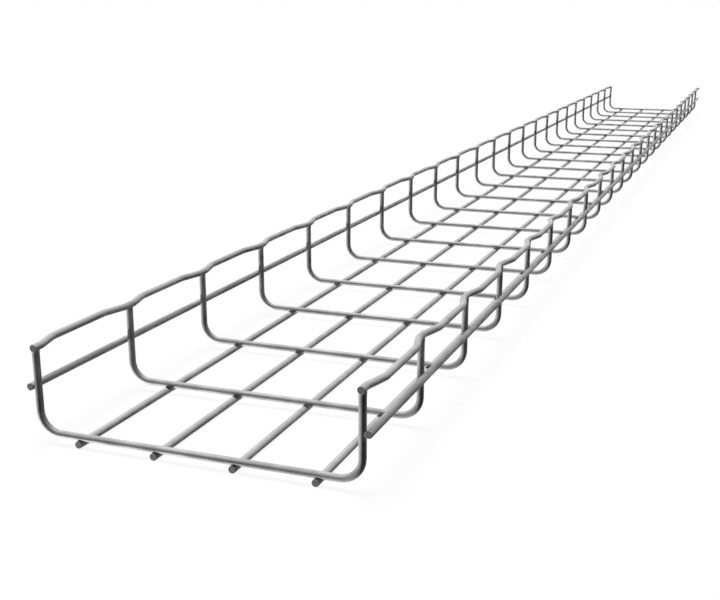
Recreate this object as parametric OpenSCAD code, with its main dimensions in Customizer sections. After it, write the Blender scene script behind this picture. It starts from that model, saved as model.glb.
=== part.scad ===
// Wire mesh cable basket: one straight length of U-shaped welded wire tray.
//
// Every piece is drawn steel wire of one diameter, resistance-welded where it
// crosses another. U-shaped cross wires carry everything: straight wires run
// beneath their floor, one straight wire runs outside their legs on each
// side, and a waved rim wire is butt-welded on the leg tips on each side.
//
// X runs across the tray, Y along it and Z up. The origin is at the middle of
// the tray, level with the underside of the floor wires. Millimetres.

/* [Wire] */
// Diameter of every wire
wire_d = 4.5; // [3.5:0.1:6]
// Depth by which two crossing wires are pressed into each other at a weld
weld_sink = 0.3; // [0.1:0.05:0.6]
// Depth by which the end of a leg is upset into the rim wire
tip_sink = 0.8; // [0.3:0.1:1.2]

/* [Tray] */
// Clear width between the legs
clear_w = 198; // [100:1:400]
// Clear depth from the top of the cross wires to the top of the rim wires
clear_h = 52; // [44:1:110]
// Inside radius of the bend between floor and leg
bend_in_r = 11; // [5:0.5:18]

/* [Mesh] */
// Number of U-shaped cross wires
cross_wires = 24; // [2:1:40]
// Distance from one cross wire to the next
pitch = 100; // [75:1:150]
// Distance from one floor wire to the next
floor_pitch = 50; // [25:1:75]
// Height of the side wires above the middle of the cross wires
side_h = 28; // [20:0.5:36]

/* [Cut ends] */
// Length of the long wires past the middle of the first cross wire
start_stub = 2.5; // [2.5:0.5:50]
// Length of the long wires past the middle of the last cross wire
far_stub = 30; // [2.5:0.5:60]

/* [Rim wave] */
// Distance by which the rim wire stands out between the legs
wave_out = 4.5; // [2:0.25:8]
// Length of the straight seat on each leg tip
seat_len = 8; // [6:0.5:16]
// Length in which the rim wire swings from its seat to its outer line
swing_len = 20; // [16:0.5:24]
// Radius of the rim wire's middle line at each knee of the swing
knee_r = 10; // [8:0.5:14]

/* [Hidden] */
$fn = 40;
wire_r = wire_d / 2;

// Heights of the wire middles, from the floor wires' underside up
cross_step = wire_d - weld_sink;
floor_z = wire_r;
cross_z = floor_z + cross_step;
side_z = cross_z + side_h;
rim_z = cross_z + clear_h;

// The U wire: middle line of the legs, of the bends and of the flat floor
leg_x = clear_w / 2 + wire_r;
bend_r = bend_in_r + wire_r;
flat_w = 2 * (leg_x - bend_r);
leg_top_z = rim_z - wire_r + tip_sink;
side_x = leg_x + cross_step;

// As many floor wires as find room on the flat floor
floor_wires = floor((flat_w - wire_d) / floor_pitch) + 1;

// Lengthwise places
tray_len = start_stub + (cross_wires - 1) * pitch + far_stub;
start_y = -tray_len / 2;
function cross_y(i) = start_y + start_stub + (i - 1) * pitch;
function floor_x(i) = (i - (floor_wires + 1) / 2) * floor_pitch;

// The swing of the rim wire: a knee, a slanted straight and the knee back.
// Its slant is the cross tangent of the two knees' equal circles.
knee_gap = [2 * knee_r - wave_out, swing_len];
slant_len = sqrt(knee_gap * knee_gap - 4 * knee_r * knee_r);
knee_turn = atan(2 * knee_r / slant_len) - atan(knee_gap[0] / knee_gap[1]);
seat_end = seat_len / 2;
swing_end = seat_end + swing_len;

// A straight of the rim wire reaches this far into the knee that it joins,
// and is this much thinner in radius, so that no two faces coincide there
lap = 0.3;
hair = 0.01;

// How far the seat on an end leg runs, past the leg's middle, towards a stub
function seat_reach(stub) = stub > swing_end ? seat_end + lap : stub;

function cross_name(i) = str("cross_wire_", i < 10 ? "0" : "", i);
function floor_name(i) = str("floor_wire_", i);

// Straight wire along +Y, starting at y = 0
module straight(length) {
    rotate([-90, 0, 0]) cylinder(h = length, d = wire_d);
}

// Wire bent round the Z axis in the XY plane, through turn degrees from +X
module arc(radius, turn) {
    rotate_extrude(angle = turn) translate([radius, 0]) circle(d = wire_d);
}

// Full-length straight wire
module long_wire(x, z) {
    translate([x, start_y, z]) straight(tray_len);
}

// One half of a U wire, on the +X side: half floor, bend and leg
module half_u() {
    translate([0, 0, cross_z]) rotate([0, 90, 0]) cylinder(h = flat_w / 2, d = wire_d);
    translate([flat_w / 2, 0, cross_z + bend_r]) rotate([90, 0, 0]) rotate([0, 0, -90])
        arc(bend_r, 90);
    translate([leg_x, 0, cross_z + bend_r])
        cylinder(h = leg_top_z - cross_z - bend_r, d = wire_d);
}

// A short stretch of a long wire, as it presses into a U wire at y = 0
module weld_seat(x, z) {
    translate([x, -wire_d, z]) straight(2 * wire_d);
}

// U-shaped cross wire number i, with its weld seats
module cross_wire(i) {
    color("Silver") translate([0, cross_y(i), 0]) difference() {
        union() {
            half_u();
            mirror([1, 0, 0]) half_u();
        }
        for (k = [1:floor_wires]) weld_seat(floor_x(k), floor_z);
        for (side = [-1, 1]) {
            weld_seat(side * side_x, side_z);
            weld_seat(side * leg_x, rim_z);
        }
    }
}

// Straight wire number i under the floor
module floor_wire(i) {
    color("LightGray") long_wire(floor_x(i), floor_z);
}

// Straight wire outside the legs, on side -1 or 1
module side_wire(side) {
    color("LightGray") long_wire(side * side_x, side_z);
}

// Straight of the rim wire along +Y, a hair thinner than the knees
module rim_straight(length) {
    rotate([-90, 0, 0]) cylinder(h = length, d = wire_d - 2 * hair);
}

// Straight of the rim wire from y = a to y = b, lapped into a knee at each end
module lapped(a, b) {
    translate([0, a - lap, 0]) rim_straight(b - a + 2 * lap);
}

// Swing of the rim wire, from x = 0, y = 0 out to x = wave_out, y = swing_len
module rim_swing() {
    translate([knee_r, 0, 0]) {
        rotate([0, 0, 180 - knee_turn]) arc(knee_r, knee_turn);
        rotate([0, 0, -knee_turn]) translate([-knee_r, 0, 0]) lapped(0, slant_len);
    }
    translate([wave_out - knee_r, swing_len, 0]) rotate([0, 0, -knee_turn])
        arc(knee_r, knee_turn);
}

// The two swings of one bay, from leg to leg, with the outer run between them
module rim_bay() {
    translate([0, seat_end, 0]) rim_swing();
    translate([wave_out, 0, 0]) lapped(swing_end, pitch - swing_end);
    translate([0, pitch - seat_end, 0]) mirror([0, 1, 0]) rim_swing();
}

// Swing and outer run of the rim wire past the last leg, where they find room
module rim_end(stub) {
    if (stub > swing_end) {
        translate([0, seat_end, 0]) rim_swing();
        translate([wave_out, swing_end - lap, 0]) rim_straight(stub - swing_end + lap);
    }
}

// Rim wire on the +X side, from end to end
module rim() {
    last = cross_wires - 1;
    translate([leg_x, cross_y(1), rim_z]) {
        for (i = [0:last]) {
            before = i == 0 ? seat_reach(start_stub) : seat_end + lap;
            after = i == last ? seat_reach(far_stub) : seat_end + lap;
            translate([0, i * pitch - before, 0]) rim_straight(before + after);
        }
        for (i = [1:last]) translate([0, (i - 1) * pitch, 0]) rim_bay();
        mirror([0, 1, 0]) rim_end(start_stub);
        translate([0, last * pitch, 0]) rim_end(far_stub);
    }
}

// Rim wire on side -1 or 1
module rim_wire(side) {
    color("Gainsboro") mirror([side < 0 ? 1 : 0, 0, 0]) rim();
}

for (i = [1:cross_wires])
    cross_wire(i);
for (i = [1:floor_wires])
    floor_wire(i);
side_wire(-1);  // side_wire_left
side_wire(1);  // side_wire_right
rim_wire(-1);  // rim_wire_left
rim_wire(1);  // rim_wire_right
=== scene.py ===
"""Wire mesh cable basket: one length of U-shaped welded wire tray, of zinc-coated drawn steel wire.

Lengths are in metres, apart from the names that end in MM. X runs across the tray, Y along it, Z up.
"""

import bpy
import numpy as np
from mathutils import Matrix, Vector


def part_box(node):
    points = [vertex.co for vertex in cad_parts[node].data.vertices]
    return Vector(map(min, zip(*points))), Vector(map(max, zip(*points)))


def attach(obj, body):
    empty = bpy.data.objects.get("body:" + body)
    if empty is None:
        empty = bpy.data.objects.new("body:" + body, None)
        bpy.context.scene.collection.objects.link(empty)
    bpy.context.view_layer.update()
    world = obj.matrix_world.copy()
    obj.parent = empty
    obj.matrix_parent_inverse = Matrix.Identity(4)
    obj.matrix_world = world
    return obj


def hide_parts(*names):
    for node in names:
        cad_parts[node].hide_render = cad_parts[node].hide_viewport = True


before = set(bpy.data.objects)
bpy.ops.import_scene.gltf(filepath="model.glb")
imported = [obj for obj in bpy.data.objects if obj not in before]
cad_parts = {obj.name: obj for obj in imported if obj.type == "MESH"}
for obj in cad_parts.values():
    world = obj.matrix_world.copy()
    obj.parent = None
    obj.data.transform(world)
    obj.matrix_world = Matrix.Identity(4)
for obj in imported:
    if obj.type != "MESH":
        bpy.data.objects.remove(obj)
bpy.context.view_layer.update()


# ---------------------------------------------------------------------------
# The camera looks along the tray from above its start, a little to the right,
# close enough for the far end to shrink to a quarter of the near one.
# ---------------------------------------------------------------------------
tray_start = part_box("floor_wire_1")[0].y
tray_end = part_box("floor_wire_1")[1].y
CAMERA_TO_RIGHT = 0.2862
CAMERA_BEFORE_START = 0.4919
CAMERA_HEIGHT = 0.2472
CAMERA_TURN = 20.66
CAMERA_DIP = 16.22
LENS_MM = 54.23
SENSOR_MM = 36.0
LENS_RISE = 0.0327
NEAREST_SEEN = 0.01
FARTHEST_SEEN = 100.0

camera_data = bpy.data.cameras.new("tray_camera")
camera_data.sensor_width = SENSOR_MM
camera_data.lens = LENS_MM
camera_data.shift_y = LENS_RISE
camera_data.clip_start = NEAREST_SEEN
camera_data.clip_end = FARTHEST_SEEN
camera = bpy.data.objects.new("tray_camera", camera_data)
camera.location = (CAMERA_TO_RIGHT, tray_start - CAMERA_BEFORE_START, CAMERA_HEIGHT)
camera.rotation_euler = np.radians((90.0 - CAMERA_DIP, 0.0, CAMERA_TURN))
bpy.context.scene.collection.objects.link(camera)
bpy.context.scene.camera = camera


# ---------------------------------------------------------------------------
# The U wires: 4.5 mm drawn steel wire, cut to length and bent to a U after
# welding. They carry all the others; each weld squeezes out a thin bead of
# steel between the wires, and the leg tips are butt-welded under the rim.
# ---------------------------------------------------------------------------
WIRE_R = 0.00225
WELD_STEP = 0.0042
BEND_R = 0.01325
FLOOR_WIRE_PITCH = 0.05
SIDE_WIRE_RISE = 0.028
RIM_RISE = 0.052
TIP_UPSET = 0.00020
TIP_UPSET_REACH = 0.0011
BEAD_REACH = 0.0014
BEAD_HALF_HEIGHT = 0.0005
TIP_BEAD_REACH = 0.00245
TIP_BEAD_HALF_HEIGHT = 0.0007
SIDES = 24

# The tray's own places come from the solids: WELD_STEP is the distance between the middles of
# two wires at a weld, and the rises are measured from the middle of a U wire's floor
u_names = sorted(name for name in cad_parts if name.startswith("cross_wire_"))
u_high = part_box(u_names[0])[1]
leg_x = u_high.x - WIRE_R
floor_wire_z = WIRE_R
u_floor_z = floor_wire_z + WELD_STEP
leg_tip_z = u_high.z
u_places = [(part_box(name)[0].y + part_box(name)[1].y) / 2 for name in u_names]
floor_names = sorted(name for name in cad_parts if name.startswith("floor_wire_"))
floor_xs = [(k - (len(floor_names) - 1) / 2) * FLOOR_WIRE_PITCH for k in range(len(floor_names))]
side_z = u_floor_z + SIDE_WIRE_RISE
rim_z = u_floor_z + RIM_RISE


def linear(hex_colour):
    """An sRGB hex colour as linear RGBA: c/12.92 below 0.04045, else ((c + 0.055)/1.055)^2.4."""
    srgb = np.array([int(hex_colour[i:i + 2], 16) for i in (1, 3, 5)]) / 255.0
    rgb = np.where(srgb <= 0.04045, srgb / 12.92, ((srgb + 0.055) / 1.055) ** 2.4)
    return (*rgb.tolist(), 1.0)


def node(material, kind, settings=None, inputs=None):
    """Adds a shader node; inputs take a value or the output socket of another node."""
    made = material.node_tree.nodes.new(kind)
    for name, value in (settings or {}).items():
        setattr(made, name, value)
    for name, value in (inputs or {}).items():
        if isinstance(value, bpy.types.NodeSocket):
            material.node_tree.links.new(value, made.inputs[name])
        else:
            made.inputs[name].default_value = value
    return made


def blank_material(name):
    """A node material with its output and nothing else."""
    material = bpy.data.materials.new(name)
    material.use_nodes = True
    material.node_tree.nodes.clear()
    return material, node(material, "ShaderNodeOutputMaterial")


def bent_line(moves, stops):
    """Middle line of a wire bent in one plane, at the given distances along it.

    moves are (length, turn) pairs: the heading turns evenly over each length. The chord of
    an arc of length l and turn t is l * sin(t/2)/(t/2), at the heading of the arc's middle.
    """
    lengths, turns = np.array(moves, float).T
    begin = np.concatenate([[0.0], np.cumsum(lengths)])
    heading = np.concatenate([[0.0], np.cumsum(turns)])
    chord = lengths * np.sinc(turns / (2 * np.pi))
    middle = heading[:-1] + turns / 2
    corner = np.concatenate([[0j], np.cumsum(chord * np.exp(1j * middle))])
    k = np.clip(np.searchsorted(begin, stops, side="right") - 1, 0, len(moves) - 1)
    along = stops - begin[k]
    turned = turns[k] * along / lengths[k]
    place = corner[k] + along * np.sinc(turned / (2 * np.pi)) * np.exp(1j * (heading[k] + turned / 2))
    return place, heading[k] + turned


def ring_stops(moves, welds, bend_rings=8, reach=0.005, fine=0.0008, coarse=0.05):
    """Distances along a wire at which it gets a ring: at its ends and in its bends, close
    together for reach either side of each weld, and no further apart than coarse."""
    begin = np.concatenate([[0.0], np.cumsum([length for length, _ in moves])])
    total = begin[-1]
    parts = [np.array([0.0, total]), np.arange(0.0, total, coarse)]
    for (length, turn), at in zip(moves, begin):
        parts.append(np.linspace(at, at + length, bend_rings + 1 if turn else 2))
    near = np.arange(-reach, reach + fine / 2, fine)
    parts += [at + near for at in welds]
    return np.unique(np.clip(np.round(np.concatenate(parts), 6), 0.0, total))


def skin(rings, sides):
    """Faces of a closed tube of rings, and of the two fans that shut its ends.

    Point k of ring i is number i * sides + k. The two points after the last ring are the
    middles of the first and the last end.
    """
    row, column = np.meshgrid(np.arange(rings - 1), np.arange(sides), indexing="ij")
    step = (column + 1) % sides
    tube = np.stack([row * sides + column, row * sides + step,
                     (row + 1) * sides + step, (row + 1) * sides + column], -1).reshape(-1, 4)
    around = np.arange(sides)
    following = (around + 1) % sides
    first = np.stack([np.full(sides, rings * sides), following, around], -1)
    top = (rings - 1) * sides
    last = np.stack([np.full(sides, rings * sides + 1), top + around, top + following], -1)
    return tube.tolist(), first.tolist() + last.tolist()


def bead_shell(rings=7, sides=16):
    """A closed unit sphere: (cos v cos u, cos v sin u, sin v), u round it and v from pole to pole."""
    u = np.linspace(0, 2 * np.pi, sides, endpoint=False)
    v = np.linspace(-np.pi / 2, np.pi / 2, rings + 2)[1:-1, None]
    shell = np.stack([np.cos(v) * np.cos(u), np.cos(v) * np.sin(u),
                      np.broadcast_to(np.sin(v), (rings, sides))], -1)
    points = np.concatenate([shell.reshape(-1, 3), [[0, 0, -1.0], [0, 0, 1.0]]])
    band, poles = skin(rings, sides)
    return points, band + poles


def wire_mesh(name, middle, across, normal, radius, stops, heat, beads=()):
    """A round wire: a circle carried along its middle line, closed by a disc at each end.

    A point is middle + radius * (cos a * normal + sin a * across), with a going once round.
    The attribute wire_mm is (radius * cos a, radius * sin a, distance along) in millimetres, so
    a pattern on it follows the bends without a seam. weld_heat is 1 at a weld and fades from it.
    beads are (centre, half sizes) of the flattened balls of steel at the welds.
    """
    angle = np.linspace(0, 2 * np.pi, SIDES, endpoint=False)
    ring = np.cos(angle)[None, :, None] * normal + np.sin(angle)[None, :, None] * across[:, None, :]
    body = middle[:, None, :] + radius[:, None, None] * ring
    points = np.concatenate([body.reshape(-1, 3), middle[:1], middle[-1:]])
    tube, ends = skin(len(middle), SIDES)
    faces = tube + ends

    on_wire = np.empty((len(points), 3))
    on_wire[:-2, 0] = np.outer(radius, np.cos(angle)).reshape(-1) * 1000
    on_wire[:-2, 1] = np.outer(radius, np.sin(angle)).reshape(-1) * 1000
    on_wire[:-2, 2] = np.repeat(stops, SIDES) * 1000
    on_wire[-2:] = [[0, 0, stops[0] * 1000], [0, 0, stops[-1] * 1000]]
    values = np.concatenate([np.repeat(heat, SIDES), heat[:1], heat[-1:]])
    shell, shell_faces = bead_shell()
    for centre, half_sizes in beads:
        faces += [[len(points) + corner for corner in face] for face in shell_faces]
        points = np.concatenate([points, centre + shell * half_sizes])
        on_wire = np.concatenate([on_wire, shell * half_sizes * 1000])
        values = np.concatenate([values, np.ones(len(shell))])
    mesh = bpy.data.meshes.new(name)
    mesh.from_pydata(points.tolist(), [], faces)
    follows = mesh.attributes.new("wire_mm", "FLOAT_VECTOR", "POINT")
    follows.data.foreach_set("vector", on_wire.astype(np.float32).reshape(-1))
    warmth = mesh.attributes.new("weld_heat", "FLOAT", "POINT")
    warmth.data.foreach_set("value", values.astype(np.float32))
    face_material = np.zeros(len(faces), np.int32)
    face_material[len(tube):len(tube) + len(ends)] = 1
    mesh.polygons.foreach_set("material_index", face_material)
    mesh.polygons.foreach_set("use_smooth", face_material == 0)
    mesh.update()
    return mesh


def heat_near(stops, welds, spread=0.0022):
    """1 at each weld, falling off as a bell curve of the given spread."""
    gap = np.abs(stops[:, None] - np.array(welds)[None, :]).min(1)
    return np.exp(-0.5 * (gap / spread) ** 2)


def add_piece(name, mesh, materials, replaced):
    """Puts a finished mesh in the scene, riding with the tray, in place of the CAD nodes named."""
    piece = bpy.data.objects.new(name, mesh)
    bpy.context.scene.collection.objects.link(piece)
    for material in materials:
        mesh.materials.append(material)
    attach(piece, "root")
    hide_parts(*replaced)


# Galvanised drawn wire: a zinc coat on steel pulled through a die, gone dull under its own
# oxide. The oxide scatters light like a matt grey skin and bright zinc shows through it in
# streaks along the wire, so the metal's share is small and changes from streak to streak. The
# streaks are drawn 0.9 mm wide, three times the real ones, which would be too fine to show. The
# heat of each weld leaves the zinc a little darker for about 2 mm round it.
ZINC = "#C8C8C8"
ZINC_STREAK = "#ADADAD"
WELD_TINT = "#8A8A8A"
WELD_DULLING = 0.2
STREAK_MM = 0.9
STREAK_LENGTH_MM = 60.0
CLOUD_MM = 14.0
METAL_IN_OXIDE = 0.0
METAL_IN_STREAK = 0.12
GLOSS = 0.1
ROUGH_LOW = 0.42
ROUGH_HIGH = 0.52
PATTERN_LOW = 0.75
PATTERN_HIGH = 1.25
STREAK_RELIEF = 0.1
STREAK_DEPTH = 0.00003


def zinc_coat():
    """Zinc on drawn wire: streaks on the wire's own coordinates, clouds on the tray's."""
    zinc, output = blank_material("galvanised_drawn_wire")
    on_wire = node(zinc, "ShaderNodeAttribute", {"attribute_name": "wire_mm"}).outputs["Vector"]
    stretched = node(zinc, "ShaderNodeMapping", inputs={
        "Vector": on_wire, "Scale": (1 / STREAK_MM, 1 / STREAK_MM, 1 / STREAK_LENGTH_MM)})
    streaks = node(zinc, "ShaderNodeTexNoise", inputs={
        "Vector": stretched.outputs["Vector"], "Scale": 1.0, "Detail": 2.0, "Roughness": 0.5})
    place = node(zinc, "ShaderNodeTexCoord").outputs["Object"]
    clouds = node(zinc, "ShaderNodeTexNoise", inputs={
        "Vector": place, "Scale": 1000 / CLOUD_MM, "Detail": 3.0, "Roughness": 0.5})
    both = node(zinc, "ShaderNodeMath", {"operation": "ADD"}, {
        0: streaks.outputs["Fac"], 1: clouds.outputs["Fac"]})
    depth = node(zinc, "ShaderNodeMapRange", inputs={
        "Value": both.outputs["Value"], "From Min": PATTERN_LOW, "From Max": PATTERN_HIGH})
    coat = node(zinc, "ShaderNodeMix", {"data_type": "RGBA"}, {
        "Factor": depth.outputs["Result"], 6: linear(ZINC_STREAK), 7: linear(ZINC)})
    heat = node(zinc, "ShaderNodeAttribute", {"attribute_name": "weld_heat"}).outputs["Fac"]
    tinted = node(zinc, "ShaderNodeMath", {"operation": "MULTIPLY"}, {0: heat, 1: WELD_DULLING})
    colour = node(zinc, "ShaderNodeMix", {"data_type": "RGBA"}, {
        "Factor": tinted.outputs["Value"], 6: coat.outputs[2], 7: linear(WELD_TINT)})
    rough = node(zinc, "ShaderNodeMapRange", inputs={
        "Value": both.outputs["Value"], "From Min": PATTERN_LOW, "From Max": PATTERN_HIGH,
        "To Min": ROUGH_HIGH, "To Max": ROUGH_LOW})
    metal = node(zinc, "ShaderNodeMapRange", inputs={
        "Value": both.outputs["Value"], "From Min": PATTERN_LOW, "From Max": PATTERN_HIGH,
        "To Min": METAL_IN_OXIDE, "To Max": METAL_IN_STREAK})
    bump = node(zinc, "ShaderNodeBump", inputs={
        "Height": streaks.outputs["Fac"], "Strength": STREAK_RELIEF, "Distance": STREAK_DEPTH})
    shader = node(zinc, "ShaderNodeBsdfPrincipled", inputs={
        "Base Color": colour.outputs[2], "Metallic": metal.outputs["Result"], "Specular IOR Level": GLOSS,
        "Roughness": rough.outputs["Result"], "Normal": bump.outputs["Normal"]})
    zinc.node_tree.links.new(shader.outputs["BSDF"], output.inputs["Surface"])
    return zinc


# Sheared steel: the cutter leaves each end bare, dark and ridged by the slip of the metal
# along the blade, which gives it a coarse dull shine without the zinc's paleness.
STEEL_HOLLOW = "#484848"
STEEL_RIDGE = "#626262"
SHEAR_MARK_MM = 0.5


def sheared_steel():
    """Bare steel with shear marks across the face.

    The diagonal wave is the sine of 10 * scale * (x + y + z), and an end face lies in X and Z, so
    the marks are 2 pi / (10 * scale * sqrt(2)) apart on it.
    """
    steel, output = blank_material("sheared_steel_end")
    place = node(steel, "ShaderNodeTexCoord").outputs["Object"]
    mark_scale = 2 * np.pi / (10 * np.sqrt(2) * SHEAR_MARK_MM / 1000)
    marks = node(steel, "ShaderNodeTexWave", {"bands_direction": "DIAGONAL"}, {
        "Vector": place, "Scale": mark_scale, "Distortion": 2.0, "Detail": 2.0})
    colour = node(steel, "ShaderNodeMix", {"data_type": "RGBA"}, {
        "Factor": marks.outputs["Fac"], 6: linear(STEEL_HOLLOW), 7: linear(STEEL_RIDGE)})
    shader = node(steel, "ShaderNodeBsdfPrincipled", inputs={
        "Base Color": colour.outputs[2], "Metallic": 0.6, "Roughness": 0.5})
    steel.node_tree.links.new(shader.outputs["BSDF"], output.inputs["Surface"])
    return steel


zinc = zinc_coat()
cut_end = sheared_steel()

leg_run = leg_tip_z - u_floor_z - BEND_R
floor_run = 2 * (leg_x - BEND_R)
quarter = np.pi / 2
u_moves = [(leg_run, 0), (BEND_R * quarter, quarter), (floor_run, 0),
           (BEND_R * quarter, quarter), (leg_run, 0)]
u_total = sum(length for length, _ in u_moves)
u_side_weld = leg_tip_z - side_z
u_floor_welds = [leg_run + BEND_R * quarter + floor_run / 2 + x for x in floor_xs]
u_welds = [0.0, u_side_weld, *u_floor_welds, u_total - u_side_weld, u_total]
u_stops = ring_stops(u_moves, u_welds)
u_line, u_heading = bent_line(u_moves, u_stops)
# The first leg runs down: plane heading 0 is -Z, and a positive turn leads towards +X
u_x = -leg_x + u_line.imag
u_z = leg_tip_z - u_line.real
u_across = np.stack([np.cos(u_heading), np.zeros(len(u_heading)), np.sin(u_heading)], -1)
tip_gap = np.minimum(u_stops, u_total - u_stops)
u_radius = WIRE_R + TIP_UPSET * np.exp(-0.5 * (tip_gap / TIP_UPSET_REACH) ** 2)
bead_z = floor_wire_z + WELD_STEP / 2
bead_x = leg_x + WELD_STEP / 2
for name, y in zip(u_names, u_places):
    beads = [((x, y, bead_z), (BEAD_REACH, BEAD_REACH, BEAD_HALF_HEIGHT)) for x in floor_xs]
    for side in (-1, 1):
        beads.append(((side * bead_x, y, side_z), (BEAD_HALF_HEIGHT, BEAD_REACH, BEAD_REACH)))
        beads.append(((side * leg_x, y, leg_tip_z), (TIP_BEAD_REACH, TIP_BEAD_REACH, TIP_BEAD_HALF_HEIGHT)))
    middle = np.stack([u_x, np.full(len(u_x), y), u_z], -1)
    piece_name = "u_wire" + name[-3:]
    mesh = wire_mesh(piece_name, middle, u_across, np.array([0.0, 1.0, 0.0]), u_radius, u_stops,
                     heat_near(u_stops, u_welds), beads)
    add_piece(piece_name, mesh, [zinc, cut_end], [name])


# ---------------------------------------------------------------------------
# The straight wires: the same wire, sheared square at both ends and welded
# under the floor of the U wires and outside their legs.
# ---------------------------------------------------------------------------
BURR = 0.00018


def end_rounding(stops, total):
    """Radius along a sheared wire: the cutter leaves both rims rounded over by BURR."""
    gap = np.minimum(stops, total - stops)
    return WIRE_R - BURR * np.clip(1 - gap / BURR, 0, 1)


tray_length = tray_end - tray_start
long_moves = [(tray_length, 0)]
long_welds = [y - tray_start for y in u_places]
long_stops = np.unique(np.concatenate([
    ring_stops(long_moves, long_welds), [BURR, tray_length - BURR]]))
long_radius = end_rounding(long_stops, tray_length)


def straight_wire(name, x, z, replaced):
    """A full-length wire at x, z."""
    middle = np.stack([np.full(len(long_stops), x), tray_start + long_stops,
                       np.full(len(long_stops), z)], -1)
    across = np.tile([1.0, 0.0, 0.0], (len(long_stops), 1))
    mesh = wire_mesh(name, middle, across, np.array([0.0, 0.0, 1.0]), long_radius, long_stops,
                     heat_near(long_stops, long_welds))
    add_piece(name, mesh, [zinc, cut_end], [replaced])


for name, x in zip(floor_names, floor_xs):
    straight_wire("straight_" + name, x, floor_wire_z, name)
for side, word in ((-1, "left"), (1, "right")):
    straight_wire("straight_side_wire_" + word, side * (leg_x + WELD_STEP), side_z, "side_wire_" + word)


# ---------------------------------------------------------------------------
# The rim wires: waved in the flat before welding, so that they sit on the leg
# tips and stand out by one wire between them, clear of cables laid over them.
# ---------------------------------------------------------------------------
WAVE_OUT = 0.0045
SEAT = 0.008
SWING = 0.020
KNEE_R = 0.010
KNEE_RINGS = 3

across_gap = 2 * KNEE_R - WAVE_OUT
slant = np.sqrt(across_gap ** 2 + SWING ** 2 - 4 * KNEE_R ** 2)
knee_turn = np.arctan(2 * KNEE_R / slant) - np.arctan(across_gap / SWING)
knee = KNEE_R * knee_turn
pitch = u_places[1] - u_places[0]
swing_out = [(knee, knee_turn), (slant, 0), (knee, -knee_turn)]
swing_in = [(knee, -knee_turn), (slant, 0), (knee, knee_turn)]
bay = [*swing_out, (pitch - SEAT - 2 * SWING, 0), *swing_in]
start_stub = u_places[0] - tray_start
far_stub = tray_end - u_places[-1]
rim_moves = [(start_stub + SEAT / 2, 0)]
for _ in range(len(u_places) - 2):
    rim_moves += [*bay, (SEAT, 0)]
rim_moves += [*bay, (SEAT, 0), *swing_out, (far_stub - SEAT / 2 - SWING, 0)]
rim_total = sum(length for length, _ in rim_moves)
bay_length = sum(length for length, _ in bay) + SEAT
rim_welds = [start_stub + i * bay_length for i in range(len(u_places))]
rim_stops = np.unique(np.concatenate([
    ring_stops(rim_moves, rim_welds, bend_rings=KNEE_RINGS), [BURR, rim_total - BURR]]))
rim_line, rim_heading = bent_line(rim_moves, rim_stops)
for side, word in ((-1, "left"), (1, "right")):
    middle = np.stack([side * (leg_x + rim_line.imag), tray_start + rim_line.real,
                       np.full(len(rim_stops), rim_z)], -1)
    across = np.stack([np.cos(rim_heading), -side * np.sin(rim_heading), np.zeros(len(rim_stops))], -1)
    mesh = wire_mesh("waved_rim_wire_" + word, middle, across, np.array([0.0, 0.0, 1.0]),
                     end_rounding(rim_stops, rim_total), rim_stops, heat_near(rim_stops, rim_welds))
    add_piece("waved_rim_wire_" + word, mesh, [zinc, cut_end], ["rim_wire_" + word])


# ---------------------------------------------------------------------------
# The studio: a pale floor that sweeps up to a wall all round, as a shooting
# table does, with a broad soft lamp overhead, one below the table that shines
# up through it from the left, and a room that is dim behind and dark elsewhere.
# ---------------------------------------------------------------------------
FLOOR_SEEN = "#EEEEEE"
FLOOR_BOUNCE = "#202020"
FLOOR_RINGS = (0.0, 1.0, 4.0, 12.0)
FLOOR_DROP = 0.0001
SWEEP_START = 30.0
SWEEP_R = 1.5
SWEEP_SIDES = 64
WALL_TOP = 10.0
WHITE_SHARE = 0.9
SHADE_REACH = (2.0, 8.0)

arc = np.linspace(0, np.pi / 2, 13)
radius = np.concatenate([FLOOR_RINGS, SWEEP_START + SWEEP_R * np.sin(arc), [SWEEP_START + SWEEP_R]])
height = np.concatenate([np.zeros(len(FLOOR_RINGS)), SWEEP_R * (1 - np.cos(arc)), [WALL_TOP]])
turn = np.linspace(0, 2 * np.pi, SWEEP_SIDES, endpoint=False)
sweep = np.stack([np.outer(radius, np.cos(turn)), np.outer(radius, np.sin(turn)),
                  np.outer(height - FLOOR_DROP, np.ones(SWEEP_SIDES))], -1)
row, column = np.meshgrid(np.arange(len(radius) - 1), np.arange(SWEEP_SIDES), indexing="ij")
step = (column + 1) % SWEEP_SIDES
inner = row * SWEEP_SIDES
outer = inner + SWEEP_SIDES
quads = np.stack([inner + column, outer + column, outer + step, inner + step], -1)
floor_mesh = bpy.data.meshes.new("pale_floor")
floor_mesh.from_pydata(sweep.reshape(-1, 3).tolist(), [], quads.reshape(-1, 4).tolist())
floor_mesh.polygons.foreach_set("use_smooth", np.ones(len(floor_mesh.polygons), bool))
floor = bpy.data.objects.new("pale_floor", floor_mesh)
bpy.context.scene.collection.objects.link(floor)
# The lower lamp has to reach the tray through the floor
floor.visible_shadow = False

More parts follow.
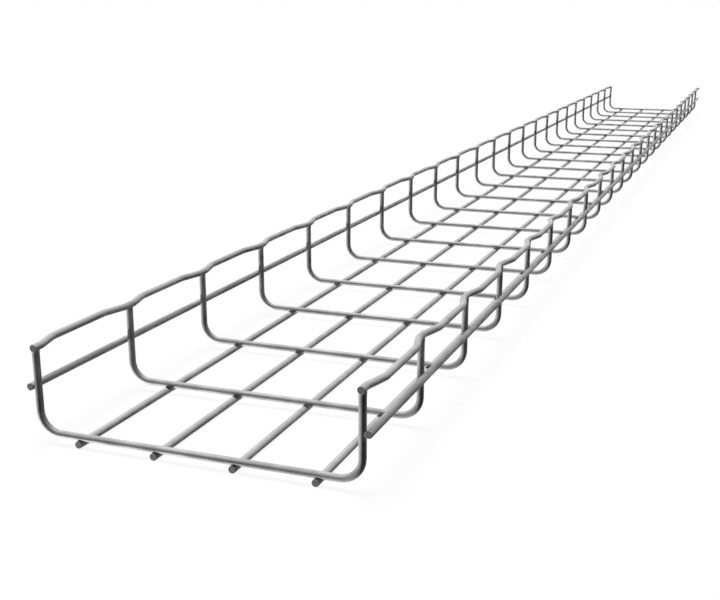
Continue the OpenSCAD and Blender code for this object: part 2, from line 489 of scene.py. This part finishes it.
# Card: nearly white to the eye and in reflections, and dark to scattered light, so that it doesn't
# fill in the undersides. WHITE_SHARE of it is plain white and the rest takes the tray's shadow,
# and over SHADE_REACH from the middle the white grows to the whole
pale, pale_output = blank_material("pale_studio_floor")
light_path = node(pale, "ShaderNodeLightPath")
seen = node(pale, "ShaderNodeMath", {"operation": "MAXIMUM"}, {
    0: light_path.outputs["Is Camera Ray"], 1: light_path.outputs["Is Glossy Ray"]})
seen = node(pale, "ShaderNodeMath", {"operation": "MAXIMUM"}, {
    0: seen.outputs["Value"], 1: light_path.outputs["Is Transmission Ray"]})
from_middle = node(pale, "ShaderNodeVectorMath", {"operation": "LENGTH"}, {
    0: node(pale, "ShaderNodeTexCoord").outputs["Object"]})
whiteness = node(pale, "ShaderNodeMapRange", {"interpolation_type": "SMOOTHSTEP"}, {
    "Value": from_middle.outputs["Value"], "From Min": SHADE_REACH[0], "From Max": SHADE_REACH[1],
    "To Min": WHITE_SHARE, "To Max": 1.0})
share = node(pale, "ShaderNodeMath", {"operation": "MULTIPLY"}, {
    0: seen.outputs["Value"], 1: whiteness.outputs["Result"]})
card = node(pale, "ShaderNodeMix", {"data_type": "RGBA"}, {
    "Factor": seen.outputs["Value"], 6: linear(FLOOR_BOUNCE), 7: linear(FLOOR_SEEN)})
matt = node(pale, "ShaderNodeBsdfDiffuse", inputs={"Color": card.outputs[2]})
white = node(pale, "ShaderNodeEmission", inputs={"Color": (1, 1, 1, 1), "Strength": 1.0})
blend = node(pale, "ShaderNodeMixShader", inputs={
    0: share.outputs["Value"], 1: matt.outputs["BSDF"], 2: white.outputs["Emission"]})
pale.node_tree.links.new(blend.outputs["Shader"], pale_output.inputs["Surface"])
floor_mesh.materials.append(pale)

LIGHT_SIDE = (-0.5, 0.8, 0.35)
ROOM_LIGHT = 0.2
ROOM_FROM = 0.1
ROOM_TO = 0.7
HORIZON_FADE = 0.3

world = bpy.data.worlds.new("studio_room")
bpy.context.scene.world = world
world.use_nodes = True
world.node_tree.nodes.clear()
world_output = node(world, "ShaderNodeOutputWorld")
direction = node(world, "ShaderNodeTexCoord").outputs["Generated"]
towards = node(world, "ShaderNodeVectorMath", {"operation": "DOT_PRODUCT"}, {0: direction, 1: LIGHT_SIDE})
side_level = node(world, "ShaderNodeMapRange", {"interpolation_type": "SMOOTHSTEP"}, {
    "Value": towards.outputs["Value"], "From Min": ROOM_FROM, "From Max": ROOM_TO,
    "To Min": 0.0, "To Max": ROOM_LIGHT})
upward = node(world, "ShaderNodeSeparateXYZ", inputs={0: direction}).outputs["Z"]
above = node(world, "ShaderNodeMapRange", {"interpolation_type": "SMOOTHSTEP"}, {
    "Value": upward, "From Min": 0.0, "From Max": HORIZON_FADE})
room_level = node(world, "ShaderNodeMath", {"operation": "MULTIPLY"}, {
    0: side_level.outputs["Result"], 1: above.outputs["Result"]})
room = node(world, "ShaderNodeBackground", inputs={
    "Color": (1, 1, 1, 1), "Strength": room_level.outputs["Value"]})
world.node_tree.links.new(room.outputs["Background"], world_output.inputs["Surface"])


def lamp(name, turn, height, strength, width):
    """A far, even lamp: turn degrees round from +Y towards -X, height degrees above the floor, and
    seen from the tray as a disc width degrees across."""
    data = bpy.data.lights.new(name, "SUN")
    data.energy = strength
    data.angle = np.radians(width)
    made = bpy.data.objects.new(name, data)
    made.rotation_euler = np.radians((90.0 - height, 0.0, turn + 180.0))
    bpy.context.scene.collection.objects.link(made)


# Turn, height, strength and width of each lamp
OVERHEAD = (45, 80, 3.8, 32)
UNDER_TABLE = (107, -47, 4.6, 10)
lamp("overhead_lamp", *OVERHEAD)
lamp("under_table_lamp", *UNDER_TABLE)

bpy.context.scene.view_settings.view_transform = "Standard"
